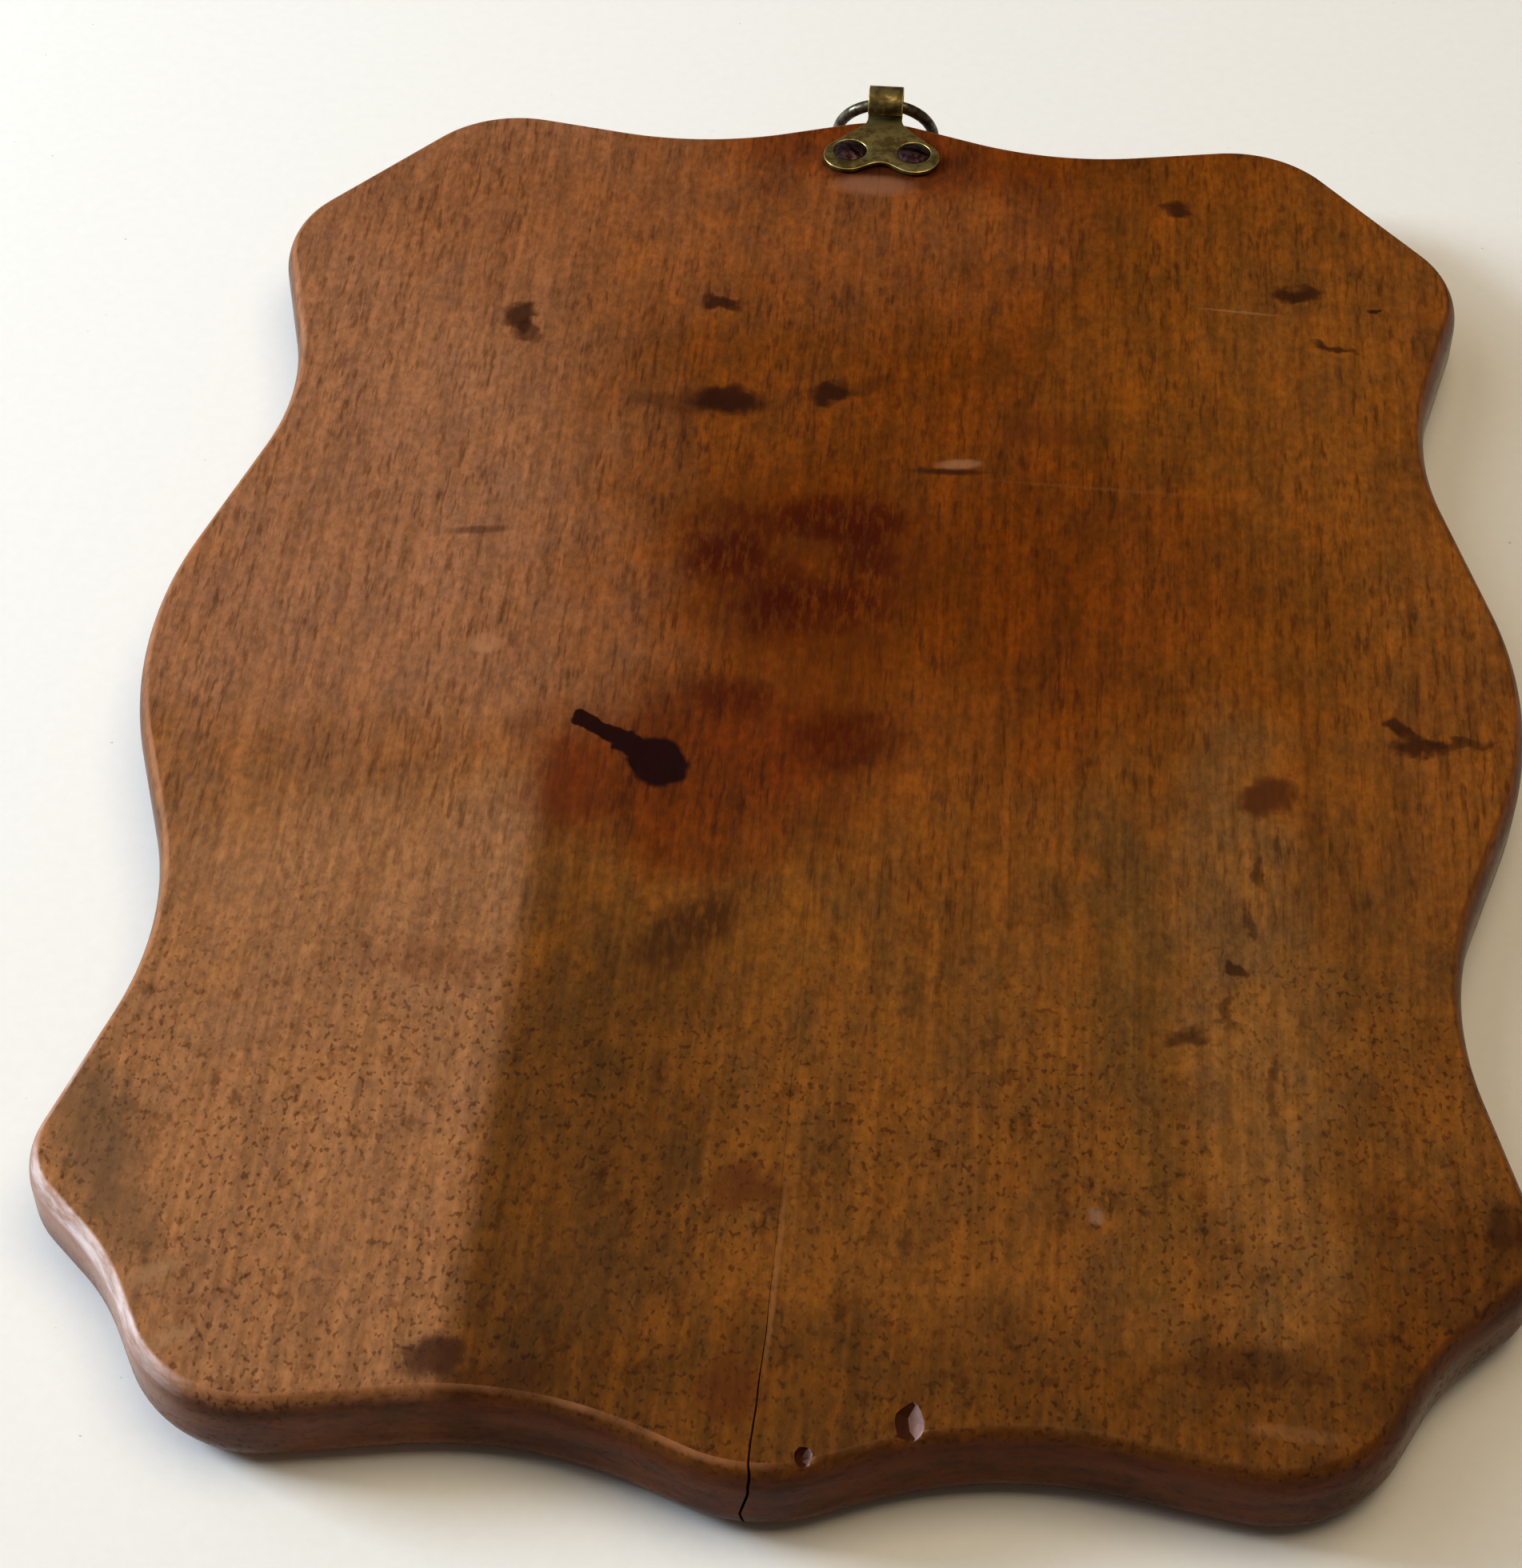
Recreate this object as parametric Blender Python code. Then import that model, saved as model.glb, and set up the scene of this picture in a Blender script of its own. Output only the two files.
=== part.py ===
"""A shield-shaped wooden plaque, lying face down, with the brass ring hanger that it hangs by.

Frame: metres, +Z up. The origin is the centre of the plaque's front face, which lies at z = 0.
The back face is up, +Y points to the end that carries the hanger and +X to the right of the back.
Dimensions are written in millimetres and turned into metres by mm().
"""

import math

import bmesh
import bpy
from mathutils import Vector

# Board
THICKNESS = 14.5
BACK_INSET = 1.6          # how far the back face stays inside the widest outline
BACK_ROUND = 4.5          # depth of the round below the back face
FRONT_INSET = 3.0
FRONT_ROUND = 5.5
ARRIS = math.radians(60)  # the round ends here, so that it meets the face at a crisp edge
ROUND_ROWS = 4
OUTLINE_STEP = 5.0        # longest chord along the outline
CONVEX = 1
HOLLOW = -1

# The outline's right half, clockwise from the top point: centre x, centre y, radius, side.
# The circles are joined by their common tangents, and the left half mirrors the right.
OUTLINE = (
    (0.0, 113.0, 19.5, CONVEX),
    (33.5, 181.5, 56.0, HOLLOW),
    (60.0, 109.5, 19.5, CONVEX),
    (109.5, 135.5, 35.0, HOLLOW),
    (77.0, 92.0, 18.0, CONVEX),
    (140.5, 58.0, 52.0, HOLLOW),
    (31.0, 2.0, 69.0, CONVEX),
    (145.0, -53.0, 56.5, HOLLOW),
    (84.5, -90.5, 12.0, CONVEX),
    (112.5, -129.5, 35.5, HOLLOW),
    (62.0, -109.5, 18.5, CONVEX),
    (35.0, -180.5, 56.0, HOLLOW),
    (0.0, -110.0, 22.5, CONVEX),
)

# Glue joint between the two planks: y along it, x of its middle, width of the gap.
# It has opened over its last stretch, where the wood beside the glue tore.
SEAM = (
    (150.0, 0.5, 0.3),
    (-95.0, 0.5, 0.3),
    (-124.0, 0.2, 0.5),
    (-133.0, -0.7, 0.8),
    (-150.0, -0.7, 0.8),
)
CUT_REACH = 120.0         # how far a cutter reaches past the middle of the board
CUT_MARGIN = 5.0

# Hanger plate: one sheet with two lobes, whose strap is looped over the ring.
# The circles of its right half are read like the board's, about the hanger's middle.
HANGER_X = 0.6
SHEET = 0.7
SEAT_GAP = 0.3            # between the plate and the wood
STRAP_HALF = 2.9          # half the width of the neck and of the strap
NECK_HOLLOW = 3.5
PLATE_OUTLINE = (
    (STRAP_HALF + NECK_HOLLOW, 130.8, NECK_HOLLOW, HOLLOW),
    (5.6, 120.6, 4.1, CONVEX),
    (0.0, 115.8, 3.0, HOLLOW),
)
PLATE_STEP = 0.8
PLATE_TOP = THICKNESS + SEAT_GAP + SHEET
NECK_TOP = 131.5
LOOP_RADIUS = 2.05        # of the middle of the sheet, at both ends of the loop
LOOP_FAR = 133.5
LOOP_NEAR = 132.5
LOOP_Z = PLATE_TOP - SHEET / 2 + LOOP_RADIUS
LOOP_END = math.radians(195)
LOOP_STEP = math.radians(15)

# Ring, leaning away from the board until its foot nearly meets the surface under the plaque
PIVOT_Y = 132.4
PIVOT_Z = 16.9
RING_RADIUS = 8.2         # of the middle of its wire
WIRE_RADIUS = 1.0
RING_DROP = 7.9           # from the pivot to the ring's centre
RING_LEAN = math.radians(15)
RING_SEGMENTS = 40
WIRE_SEGMENTS = 10

# Slotted wood screws with raised countersunk heads, measured from the top of the plate
SCREW_SPREAD = 5.35
SCREW_Y = 121.7
HEAD_RADIUS = 2.7
HEAD_DOME = 0.7
HEAD_RIM = 0.25
SHANK_RADIUS = 1.2
SHANK_END = 3.4
CORE_RADIUS = 0.9
TAPER_START = 8.0
SCREW_LENGTH = 9.5
SCREW_SEGMENTS = 20
SLOT_WIDTH = 0.8
SLOT_DEPTH = 0.2
SLOT_ANGLES = {"left": math.radians(-46), "right": math.radians(-17)}
CLEARANCE = 0.3
PILOT_DEPTH = 10.2


def mm(value):
    return value / 1000.0


def clear_scene():
    for item in list(bpy.data.objects):
        bpy.data.objects.remove(item, do_unlink=True)


def material(name, colour, roughness, metallic=0.0):
    surface = bpy.data.materials.new(name)
    surface.use_nodes = True
    shader = surface.node_tree.nodes["Principled BSDF"]
    shader.inputs["Base Color"].default_value = (*colour, 1.0)
    shader.inputs["Roughness"].default_value = roughness
    shader.inputs["Metallic"].default_value = metallic
    return surface


def add_object(name, shape, surface=None):
    """Turns a closed bmesh into an object; without a surface it is a cutter."""
    bmesh.ops.recalc_face_normals(shape, faces=shape.faces)
    mesh = bpy.data.meshes.new(name)
    shape.to_mesh(mesh)
    shape.free()
    mesh.shade_smooth()
    mesh.set_sharp_from_angle(angle=math.radians(28))
    item = bpy.data.objects.new(name, mesh)
    bpy.context.scene.collection.objects.link(item)
    if surface:
        mesh.materials.append(surface)
    else:
        item.hide_render = True
        item.display_type = "WIRE"
    return item


def cut(target, cutter):
    modifier = target.modifiers.new(cutter.name, "BOOLEAN")
    modifier.operation = "DIFFERENCE"
    modifier.solver = "EXACT"
    modifier.object = cutter


def add_ring(shape, points):
    return [shape.verts.new([mm(value) for value in point]) for point in points]


def bridge(shape, first, second, closed=True):
    """Quads between two rings of as many vertices each."""
    for i in range(len(first) if closed else len(first) - 1):
        j = (i + 1) % len(first)
        shape.faces.new((first[i], first[j], second[j], second[i]))


def tangent_normal(first, second):
    """Direction of the outward normal of the tangent that runs from one circle to the next."""
    across = Vector(second[:2]) - Vector(first[:2])
    reach = first[3] * first[2] - second[3] * second[2]
    return math.atan2(across.y, across.x) + math.acos(reach / across.length)


def tangent_outline(circles, start, end, step, inset=0.0):
    """Points clockwise round circles joined by tangents, from normal angle start to end.

    An inset moves the line inwards without changing its number of points: a bump loses the
    inset from its radius and a hollow gains it.
    """
    normals = [start]
    normals += [tangent_normal(first, second) for first, second in zip(circles, circles[1:])]
    normals.append(end)
    points = []
    for (x, y, radius, side), into, out in zip(circles, normals, normals[1:]):
        # A bump is followed clockwise and a hollow anticlockwise.
        swing = -side * (side * (into - out) % (2 * math.pi))
        count = max(2, math.ceil(abs(swing) * radius / step))
        reach = side * radius - inset
        for i in range(count + 1):
            angle = into + swing * i / count
            points.append((x + reach * math.cos(angle), y + reach * math.sin(angle)))
    return points


def mirrored(points):
    return [(-x, y) for x, y in reversed(points)]


def prism(name, outline, low, high):
    shape = bmesh.new()
    upper = add_ring(shape, [(x, y, high) for x, y in outline])
    lower = add_ring(shape, [(x, y, low) for x, y in outline])
    bridge(shape, upper, lower)
    shape.faces.new(upper)
    shape.faces.new(lower)
    return add_object(name, shape)


def turned(name, profile, segments, surface=None):
    """Solid of revolution about Z through (radius, z) points, from its top down to its foot."""
    shape = bmesh.new()
    top = shape.verts.new((0, 0, mm(profile[0][1])))
    foot = shape.verts.new((0, 0, mm(profile[-1][1])))
    angles = [2 * math.pi * i / segments for i in range(segments)]
    rings = [add_ring(shape, [(radius * math.cos(a), radius * math.sin(a), z) for a in angles])
             for radius, z in profile[1:-1]]
    for upper, lower in zip(rings, rings[1:]):
        bridge(shape, upper, lower)
    for i in range(segments):
        j = (i + 1) % segments
        shape.faces.new((top, rings[0][i], rings[0][j]))
        shape.faces.new((foot, rings[-1][i], rings[-1][j]))
    return add_object(name, shape, surface)


def board_rows():
    """Inset and height of each row of the board's wall, from the back face to the front face."""
    rows = []
    for i in range(ROUND_ROWS, -1, -1):
        angle = ARRIS * i / ROUND_ROWS
        inset = BACK_INSET * (1 - math.cos(angle)) / (1 - math.cos(ARRIS))
        rows.append((inset, THICKNESS - BACK_ROUND * (1 - math.sin(angle) / math.sin(ARRIS))))
    for i in range(ROUND_ROWS + 1):
        angle = ARRIS * i / ROUND_ROWS
        inset = FRONT_INSET * (1 - math.cos(angle)) / (1 - math.cos(ARRIS))
        rows.append((inset, FRONT_ROUND * (1 - math.sin(angle) / math.sin(ARRIS))))
    return rows


def board_blank(name, surface):
    shape = bmesh.new()
    rings = []
    for inset, height in board_rows():
        half = tangent_outline(OUTLINE, math.pi / 2, -math.pi / 2, OUTLINE_STEP, inset)
        outline = half + mirrored(half[1:-1])
        rings.append(add_ring(shape, [(x, y, height) for x, y in outline]))
    for upper, lower in zip(rings, rings[1:]):
        bridge(shape, upper, lower)
    shape.faces.new(rings[0])
    shape.faces.new(rings[-1])
    return add_object(name, shape, surface)


def seam_cutter(name, side):
    """Everything beyond one plank's edge of the glue joint: side is 1 to clear +X, -1 for -X."""
    edge = [(x - side * gap / 2, y) for y, x, gap in SEAM]
    far = [(side * CUT_REACH, SEAM[-1][0]), (side * CUT_REACH, SEAM[0][0])]
    return prism(name, edge + far, -CUT_MARGIN, THICKNESS + CUT_MARGIN)


def screw_place(side):
    offset = -SCREW_SPREAD if side == "left" else SCREW_SPREAD
    return mm(HANGER_X + offset), mm(SCREW_Y), mm(PLATE_TOP)


def pilot_cutter(side):
    """The countersunk hole through the plate and its pilot hole in the wood."""
    rim = HEAD_RADIUS + CLEARANCE
    pilot = SHANK_RADIUS + CLEARANCE
    cone_end = HEAD_RIM + rim - pilot
    profile = [(0, 1.0), (rim, 1.0), (rim, -HEAD_RIM), (pilot, -cone_end),
               (pilot, -PILOT_DEPTH), (0, -PILOT_DEPTH)]
    cutter = turned(f"pilot_{side}", profile, SCREW_SEGMENTS)
    cutter.location = screw_place(side)
    return cutter


def screw(side, surface):
    dome = [(HEAD_RADIUS * k / 4, HEAD_DOME * (1 - (k / 4) ** 2)) for k in range(5)]
    cone_end = HEAD_RIM + HEAD_RADIUS - SHANK_RADIUS
    body = [(HEAD_RADIUS, -HEAD_RIM), (SHANK_RADIUS, -cone_end), (SHANK_RADIUS, -SHANK_END),
            (CORE_RADIUS, -SHANK_END - 0.3), (CORE_RADIUS, -TAPER_START), (0, -SCREW_LENGTH)]
    item = turned(f"screw_{side}", dome + body, SCREW_SEGMENTS, surface)
    item.location = screw_place(side)

    reach = HEAD_RADIUS + 1.0
    half = SLOT_WIDTH / 2
    outline = [(-reach, -half), (-reach, half), (reach, half), (reach, -half)]
    slot = prism(f"slot_{side}", outline, -SLOT_DEPTH, 1.0)
    slot.location = item.location
    slot.rotation_euler.z = SLOT_ANGLES[side]
    cut(item, slot)


def strap_stations():
    """Middle of the strap's sheet as (y, z, direction), from the neck round the loop to its free end."""
    stations = []
    for centre, start, end in ((LOOP_FAR, -math.pi / 2, math.pi / 2), (LOOP_NEAR, math.pi / 2, LOOP_END)):
        count = round((end - start) / LOOP_STEP)
        for i in range(count + 1):
            angle = start + (end - start) * i / count
            y = centre + LOOP_RADIUS * math.cos(angle)
            z = LOOP_Z + LOOP_RADIUS * math.sin(angle)
            stations.append((y, z, angle + math.pi / 2))
    return stations


def hanger_plate(surface, pilots):
    shape = bmesh.new()
    half = tangent_outline(PLATE_OUTLINE, 0.0, -math.pi / 2, PLATE_STEP)
    right = [(STRAP_HALF, NECK_TOP)] + half
    outline = right + mirrored(right[:-1])
    upper = add_ring(shape, [(x, y, PLATE_TOP) for x, y in outline])
    lower = add_ring(shape, [(x, y, PLATE_TOP - SHEET) for x, y in outline])
    bridge(shape, upper, lower, closed=False)
    shape.faces.new(upper)
    shape.faces.new(lower)

    # The strap goes on from the open end of the neck, as a rectangle swept round the loop.
    section = [upper[-1], upper[0], lower[0], lower[-1]]
    for y, z, direction in strap_stations():
        lift = Vector((-math.sin(direction), math.cos(direction))) * SHEET / 2
        corners = [(-STRAP_HALF, 1), (STRAP_HALF, 1), (STRAP_HALF, -1), (-STRAP_HALF, -1)]
        following = add_ring(shape, [(x, y + face * lift.x, z + face * lift.y) for x, face in corners])
        bridge(shape, section, following)
        section = following
    shape.faces.new(section)

    plate = add_object("hanger_plate", shape, surface)
    plate.location.x = mm(HANGER_X)
    for cutter in pilots.values():
        cut(plate, cutter)


def hanger_ring(surface):
    """Its origin is on the axis inside the loop about which it swings."""
    shape = bmesh.new()
    rings = []
    for i in range(RING_SEGMENTS):
        turn = 2 * math.pi * i / RING_SEGMENTS
        points = []
        for k in range(WIRE_SEGMENTS):
            angle = 2 * math.pi * k / WIRE_SEGMENTS
            radius = RING_RADIUS + WIRE_RADIUS * math.cos(angle)
            points.append((radius * math.cos(turn), WIRE_RADIUS * math.sin(angle),
                           radius * math.sin(turn) - RING_DROP))
        rings.append(add_ring(shape, points))
    for first, second in zip(rings, rings[1:] + rings[:1]):
        bridge(shape, first, second)
    ring = add_object("hanger_ring", shape, surface)
    ring.location = (mm(HANGER_X), mm(PIVOT_Y), mm(PIVOT_Z))
    ring.rotation_euler.x = RING_LEAN


def main():
    clear_scene()
    wood = material("stained_mahogany", (0.20, 0.075, 0.028), 0.45)
    brass = material("aged_brass", (0.42, 0.30, 0.13), 0.38, 1.0)
    coppered = material("coppered_steel", (0.22, 0.12, 0.10), 0.45, 1.0)

    pilots = {side: pilot_cutter(side) for side in ("left", "right")}
    for side, beyond in (("left", 1), ("right", -1)):
        plank = board_blank(f"board_{side}", wood)
        cut(plank, seam_cutter(f"beyond_{side}_plank", beyond))
        cut(plank, pilots[side])
        screw(side, coppered)
    hanger_plate(brass, pilots)
    hanger_ring(brass)


main()
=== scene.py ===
"""The shield-shaped wooden plaque lying face down on a pale table, seen from its lower edge.

Frame: metres, +Z up, the same as the CAD. Dimensions are written in millimetres and turned into
metres by mm(). Colours are written as 8-bit sRGB and turned into linear values by rgb().
"""

import math

import bmesh
import bpy
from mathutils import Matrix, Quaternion, Vector, noise


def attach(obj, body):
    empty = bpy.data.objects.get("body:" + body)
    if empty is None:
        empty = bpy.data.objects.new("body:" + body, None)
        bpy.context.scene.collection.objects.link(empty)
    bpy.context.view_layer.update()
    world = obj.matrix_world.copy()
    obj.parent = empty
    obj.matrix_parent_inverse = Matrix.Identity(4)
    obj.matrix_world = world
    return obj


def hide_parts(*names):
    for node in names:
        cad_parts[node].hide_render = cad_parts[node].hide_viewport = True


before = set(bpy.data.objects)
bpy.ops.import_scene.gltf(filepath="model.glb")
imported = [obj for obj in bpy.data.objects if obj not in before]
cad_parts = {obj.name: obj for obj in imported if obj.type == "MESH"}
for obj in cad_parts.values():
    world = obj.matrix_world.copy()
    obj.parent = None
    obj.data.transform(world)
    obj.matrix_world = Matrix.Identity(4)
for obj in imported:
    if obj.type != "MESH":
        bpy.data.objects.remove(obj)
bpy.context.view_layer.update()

# Board: the outline's right half, clockwise from the top point, as circles joined by their
# common tangents: centre x, centre y, radius, side.
CONVEX = 1
HOLLOW = -1
OUTLINE = (
    (0.0, 113.0, 19.5, CONVEX),
    (33.5, 181.5, 56.0, HOLLOW),
    (60.0, 109.5, 19.5, CONVEX),
    (109.5, 135.5, 35.0, HOLLOW),
    (77.0, 92.0, 18.0, CONVEX),
    (140.5, 58.0, 52.0, HOLLOW),
    (31.0, 2.0, 69.0, CONVEX),
    (145.0, -53.0, 56.5, HOLLOW),
    (84.5, -90.5, 12.0, CONVEX),
    (112.5, -129.5, 35.5, HOLLOW),
    (62.0, -109.5, 18.5, CONVEX),
    (35.0, -180.5, 56.0, HOLLOW),
    (0.0, -110.0, 22.5, CONVEX),
)
OUTLINE_STEP = 1.2
THICKNESS = 14.5
BACK_INSET = 1.6
BACK_ROUND = 4.5
FRONT_INSET = 3.0
FRONT_ROUND = 5.5
ARRIS = math.radians(60)
EASED = math.radians(53)  # the round stops here for the small easing of its edge
EASE_INSET = 0.4          # how far that easing reaches into the face
ROUND_ROWS = 9
EASE_ROWS = 4

# Joint between the planks. It is closed down to SEAM_OPENS and has torn open below it.
SEAM_X = 0.5
SEAM_OPENS = -97.0
SEAM_END = -133.0
SEAM_SHIFT = -0.9         # how far the tear has wandered by the end
SEAM_CLOSED = 0.03
SEAM_GAP = 0.36
SEAM_REACH = 128.0        # the seam's own points lie within this distance of the middle
SEAM_STEP = 12.0
SEAM_FINE_STEP = 1.5      # along the open stretch
TEAR_REACH = 0.5          # how far the tear wanders through the thickness
JAG_REACH = 0.35          # and how rough it is

# Chips in the lower edge of the right plank: name, place, radii
CHIPS = (
    ("edge_chip", (18.6, -123.9, 15.1), (1.9, 3.2, 2.0)),
    ("small_chip", (6.2, -129.4, 14.6), (1.1, 1.4, 1.4)),
)
CHIP_SEED = 2             # unless it is seeded, noise_vector starts from the clock

# Hanger
HANGER_X = 0.6
SHEET = 0.7
PLATE_TOP = 15.5
STRAP_HALF = 2.9
PLATE_OUTLINE = (
    (6.4, 130.8, 3.5, HOLLOW),
    (5.6, 120.6, 4.1, CONVEX),
    (0.0, 115.8, 3.0, HOLLOW),
)
PLATE_STEP = 0.35
NECK_TOP = 131.5
LOOP_RADIUS = 2.05
LOOP_FAR = 133.5
LOOP_NEAR = 132.5
LOOP_Z = PLATE_TOP - SHEET / 2 + LOOP_RADIUS
LOOP_END = math.radians(195)
LOOP_STEP = math.radians(6)
PIVOT_Y = 132.4
PIVOT_Z = 16.9
RING_RADIUS = 8.2
WIRE_RADIUS = 1.0
RING_DROP = 7.9
RING_LEAN = math.radians(15)
RING_SEGMENTS = 96
WIRE_SEGMENTS = 20
WIRE_WEAR = 0.03          # mean share of its radius that the wire has lost
SCREW_SPREAD = 5.35
SCREW_Y = 121.7
HEAD_RADIUS = 2.7
HEAD_DOME = 0.7
HEAD_RIM = 0.25
SHANK_RADIUS = 1.2
TAPER_START = 8.0
SCREW_LENGTH = 9.5
SCREW_SEGMENTS = 48
SLOT_WIDTH = 0.8
SLOT_DEPTH = 0.2
SLOT_TOP = 1.5            # height of the slot's cutter above the plate
SLOT_ANGLES = {"left": math.radians(-46), "right": math.radians(-17)}
CLEARANCE = 0.3           # round the shank
HEAD_CLEARANCE = 0.12
PILOT_DEPTH = 10.2

# Table and camera, in metres
TABLE_HALF = 2.5
CAMERA_PLACE = Vector((0.01972, -0.34657, 0.37170))
CAMERA_AIM = Vector((-0.00888, -0.00883, 0.0))
CAMERA_ROLL = math.radians(-0.106)
CAMERA_LENS = 79.29


def mm(value):
    return value / 1000.0


def rgb(red, green, blue):
    """An 8-bit sRGB colour as linear values."""
    linear = []
    for level in (red, green, blue):
        share = level / 255.0
        linear.append(share / 12.92 if share <= 0.04045 else ((share + 0.055) / 1.055) ** 2.4)
    return (*linear, 1.0)


# Materials

PLAIN_GLOSS = 0.11        # specular level; both are low, for old and dusty surfaces
WOOD_GLOSS = 0.07


class Shader:
    """A material's nodes, with the object's own space in millimetres as texture space."""

    def __init__(self, name):
        self.material = bpy.data.materials.new(name)
        self.material.use_nodes = True
        self.nodes = self.material.node_tree.nodes
        self.links = self.material.node_tree.links
        self.surface = self.nodes["Principled BSDF"]
        self.surface.inputs["Specular IOR Level"].default_value = PLAIN_GLOSS
        coordinates = self.nodes.new("ShaderNodeTexCoord")
        self.place = self.mapped(coordinates.outputs["Object"], scale=(1000, 1000, 1000))

    def put(self, socket, value):
        if isinstance(value, bpy.types.NodeSocket):
            self.links.new(value, socket)
        else:
            socket.default_value = value

    def mapped(self, place, location=(0, 0, 0), scale=(1, 1, 1), angle=0.0, kind="POINT"):
        node = self.nodes.new("ShaderNodeMapping")
        node.vector_type = kind
        self.put(node.inputs["Vector"], place)
        self.put(node.inputs["Location"], location)
        self.put(node.inputs["Rotation"], (0.0, 0.0, math.radians(angle)))
        self.put(node.inputs["Scale"], scale)
        return node.outputs[0]

    def math(self, operation, first, second=0.0):
        node = self.nodes.new("ShaderNodeMath")
        node.operation = operation
        self.put(node.inputs[0], first)
        self.put(node.inputs[1], second)
        return node.outputs[0]

    def fused(self, value, factor, start):
        """The value times the factor, plus the start."""
        node = self.nodes.new("ShaderNodeMath")
        node.operation = "MULTIPLY_ADD"
        self.put(node.inputs[0], value)
        self.put(node.inputs[1], factor)
        self.put(node.inputs[2], start)
        return node.outputs[0]

    def vector(self, operation, first, second):
        node = self.nodes.new("ShaderNodeVectorMath")
        node.operation = operation
        self.put(node.inputs[0], first)
        self.put(node.inputs[1], second)
        return node.outputs["Value" if operation == "LENGTH" else "Vector"]

    def ramp(self, value, low, high, start=0.0, end=1.0):
        """Smooth step from start, at low, to end, at high."""
        node = self.nodes.new("ShaderNodeMapRange")
        node.interpolation_type = "SMOOTHSTEP"
        self.put(node.inputs["Value"], value)
        node.inputs["From Min"].default_value = low
        node.inputs["From Max"].default_value = high
        node.inputs["To Min"].default_value = start
        node.inputs["To Max"].default_value = end
        return node.outputs["Result"]

    def mix(self, factor, first, second, blend="MIX"):
        node = self.nodes.new("ShaderNodeMix")
        node.data_type = "RGBA"
        node.blend_type = blend
        self.put(node.inputs[0], factor)
        self.put(node.inputs[6], first)
        self.put(node.inputs[7], second)
        return node.outputs[2]

    def shaded(self, colour, share, dark, light):
        """The colour times a grey that goes from dark to light with the share."""
        grey = self.mix(share, (dark, dark, dark, 1.0), (light, light, light, 1.0))
        return self.mix(1.0, colour, grey, "MULTIPLY")

    def axis(self, name):
        return self.split(self.place).outputs[name]

    def split(self, vector):
        node = self.nodes.new("ShaderNodeSeparateXYZ")
        self.put(node.inputs[0], vector)
        return node

    def on_face(self, vector):
        """The vector's X and Y."""
        parts = self.split(vector).outputs
        return parts["X"], parts["Y"]

    def noise(self, size, detail=2.0, roughness=0.5, shift=0.0, output="Fac"):
        """Noise whose features are about as big as size, in mm along each axis."""
        node = self.nodes.new("ShaderNodeTexNoise")
        scale = [1 / length for length in size]
        self.put(node.inputs["Vector"], self.mapped(self.place, (shift, shift, shift), scale))
        node.inputs["Scale"].default_value = 1.0
        node.inputs["Detail"].default_value = detail
        node.inputs["Roughness"].default_value = roughness
        return node.outputs[output]

    def wobbled(self, size, reach):
        """The place, pushed about by up to roughly reach mm, so that marks get ragged outlines."""
        push = self.noise((size, size, size), 3.0, output="Color")
        centred = self.vector("SUBTRACT", push, (0.5, 0.5, 0.5))
        scaled = self.vector("MULTIPLY", centred, (reach * 2, reach * 2, 0.0))
        return self.mapped(self.place, scaled)

    def sum(self, terms, start):
        """The start plus each socket times its factor."""
        for socket, factor in terms:
            if factor:
                start = self.fused(socket, factor, start)
        return start

    def spot(self, place, x, y, width, length, angle=0.0, soft=0.5, strength=1.0):
        """Strength inside an ellipse on the face, falling to 0 across its soft outer share.

        It uses single numbers because a hundred vectors at once don't fit the renderer's stack.
        """
        across, along = place
        cosine = math.cos(math.radians(angle))
        sine = math.sin(math.radians(angle))
        half_width = width / 2
        half_length = length / 2
        first = self.sum([(across, cosine / half_width), (along, sine / half_width)],
                         -(x * cosine + y * sine) / half_width)
        second = self.sum([(across, -sine / half_length), (along, cosine / half_length)],
                          (x * sine - y * cosine) / half_length)
        squared = self.fused(first, first, self.math("MULTIPLY", second, second))
        return self.ramp(squared, (1.0 - soft) ** 2, (1.0 + soft) ** 2, strength, 0.0)

    def bar(self, place, x, y, width, length, angle, soft):
        """1 inside a bar with round ends, lying along its own Y, falling to 0 at its edge."""
        scale = (width / 2, width / 2, 1e6)
        turned_place = self.mapped(place, (x, y, 0.0), scale, angle, "TEXTURE")
        folded = self.vector("ABSOLUTE", turned_place, (0.0, 0.0, 0.0))
        shifted = self.vector("SUBTRACT", folded, (0.0, length / width - 1, 0.0))
        outside = self.vector("MAXIMUM", shifted, (0.0, 0.0, 0.0))
        distance = self.vector("LENGTH", outside, (0.0, 0.0, 0.0))
        return self.ramp(distance, 1.0 - soft, 1.0 + soft, 1.0, 0.0)

    def bump(self, height, distance, strength, normal=None):
        node = self.nodes.new("ShaderNodeBump")
        node.inputs["Distance"].default_value = mm(distance)
        node.inputs["Strength"].default_value = strength
        self.put(node.inputs["Height"], height)
        if normal:
            self.links.new(normal, node.inputs["Normal"])
        return node.outputs[0]

    def finish(self, colour, roughness, normal=None):
        self.put(self.surface.inputs["Base Color"], colour)
        self.put(self.surface.inputs["Roughness"], roughness)
        if normal:
            self.put(self.surface.inputs["Normal"], normal)
        return self.material


# Ground colours of the back
UPPER = (101, 50, 6)
LOWER = (110, 67, 24)
# Painted sheen in the next two colours: the back paler on the left, and lower down a strip with a
# straight edge at x = -38, where the window's light and its reflection fall on the finish
LEFT_SHEEN = (139, 92, 62)
STRIP_SHEEN = (143, 97, 62)
# Streaked colours of the walls
WALL_DARK = (48, 16, 0)
WALL_LIGHT = (92, 42, 12)
# Painted highlights: the eased edges lit where they catch the window's light, and the lower left
# corner's wall with the window's reflection and a light rim
EDGE_GLINT = (172, 114, 78)
CORNER_SHEEN = (170, 128, 110)
CORNER_HIGHLIGHT = (240, 226, 226)
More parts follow.
